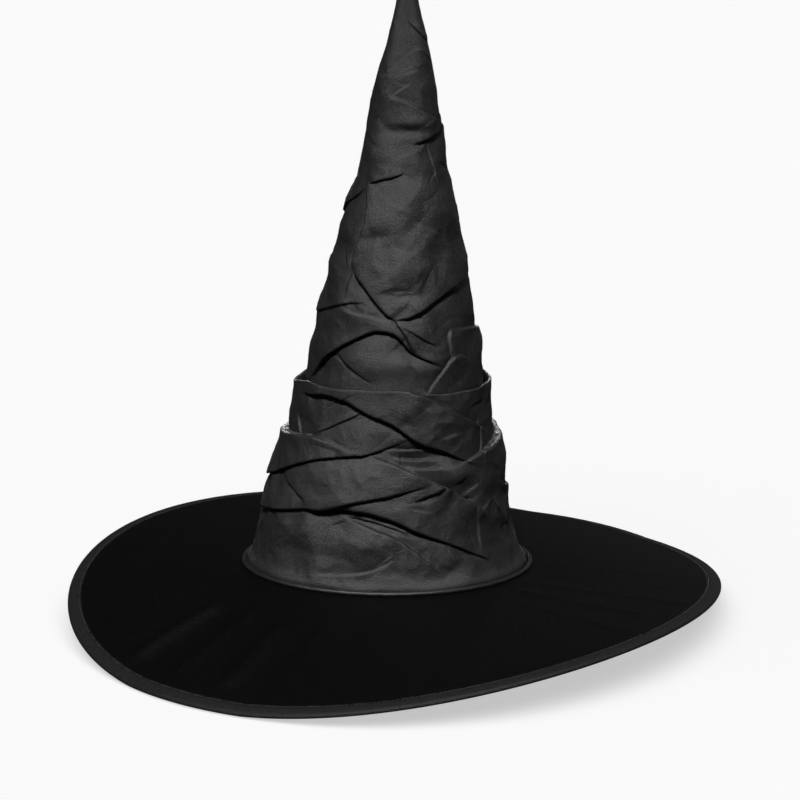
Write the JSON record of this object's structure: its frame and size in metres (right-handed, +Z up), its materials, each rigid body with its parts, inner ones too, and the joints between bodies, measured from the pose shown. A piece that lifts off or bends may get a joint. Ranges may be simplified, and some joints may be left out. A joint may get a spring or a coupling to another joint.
{
  "type": "witch hat",
  "caption": "Soft pointed witch hat with a round wired brim, oval head opening and tall slumped crown that bends at its creases.",
  "frame": {"origin": "centre of the bounding box at floor level, under the brim as it rests on a flat surface", "axes": "+Z up; +X to the right as seen from the front; +Y to the back, where the crown's seam is"},
  "size_m": [0.4796, 0.4789, 0.4664],
  "materials": {
    "crown_satin": "dark grey taffeta, soft sheen",
    "brim_satin": "near-black satin, soft sheen",
    "binding_tape": "mid-dark grey woven tape",
    "piping_tape": "dark grey satin tape",
    "under_satin": "near-black satin, soft sheen",
    "board_felt": "stiff needled felt",
    "interlining": "matte non-woven interlining",
    "seam_tape": "matte twill tape",
    "sweatband_cotton": "ribbed cotton band",
    "cord_cotton": "twisted cotton cord",
    "thread": "polyester thread",
    "wire_steel": "drawn steel wire",
    "joiner_aluminium": "crimped tube",
    "label_satin": "blank white woven label"
  },
  "bodies": {
    "hat_base": {"brim_board": "board_felt", "brim_top_cover": "brim_satin", "brim_under_cover": "under_satin", "rim_wire": "wire_steel", "wire_joiner": "joiner_aluminium", "edge_binding": "binding_tape", "binding_thread": "thread", "sweatband": "sweatband_cotton", "sweatband_thread": "thread", "crown_lower_cloth": "crown_satin", "crown_lower_lining": "interlining", "base_piping": "piping_tape", "piping_cord": "cord_cotton", "care_label": "label_satin", "back_seam_tape_lower": "seam_tape"},
    "crown_middle": {"crown_middle_cloth": "crown_satin", "crown_middle_lining": "interlining", "back_seam_tape_middle": "seam_tape"},
    "crown_tip": {"crown_tip_cloth": "crown_satin", "crown_tip_lining": "interlining", "back_seam_tape_tip": "seam_tape"}
  },
  "joints": [
    {"name": "crown_bend", "type": "hinge", "parent": "hat_base", "child": "crown_middle", "pos_m": [0.00662, -0.00448, 0.17335], "axis": [0.9989, 0, -0.0471], "range_deg": [-12, 12]},
    {"name": "tip_bend", "type": "hinge", "parent": "crown_middle", "child": "crown_tip", "pos_m": [0.01622, -0.00448, 0.30054], "axis": [0, 1, 0], "range_deg": [-30, 30]}
  ]
}
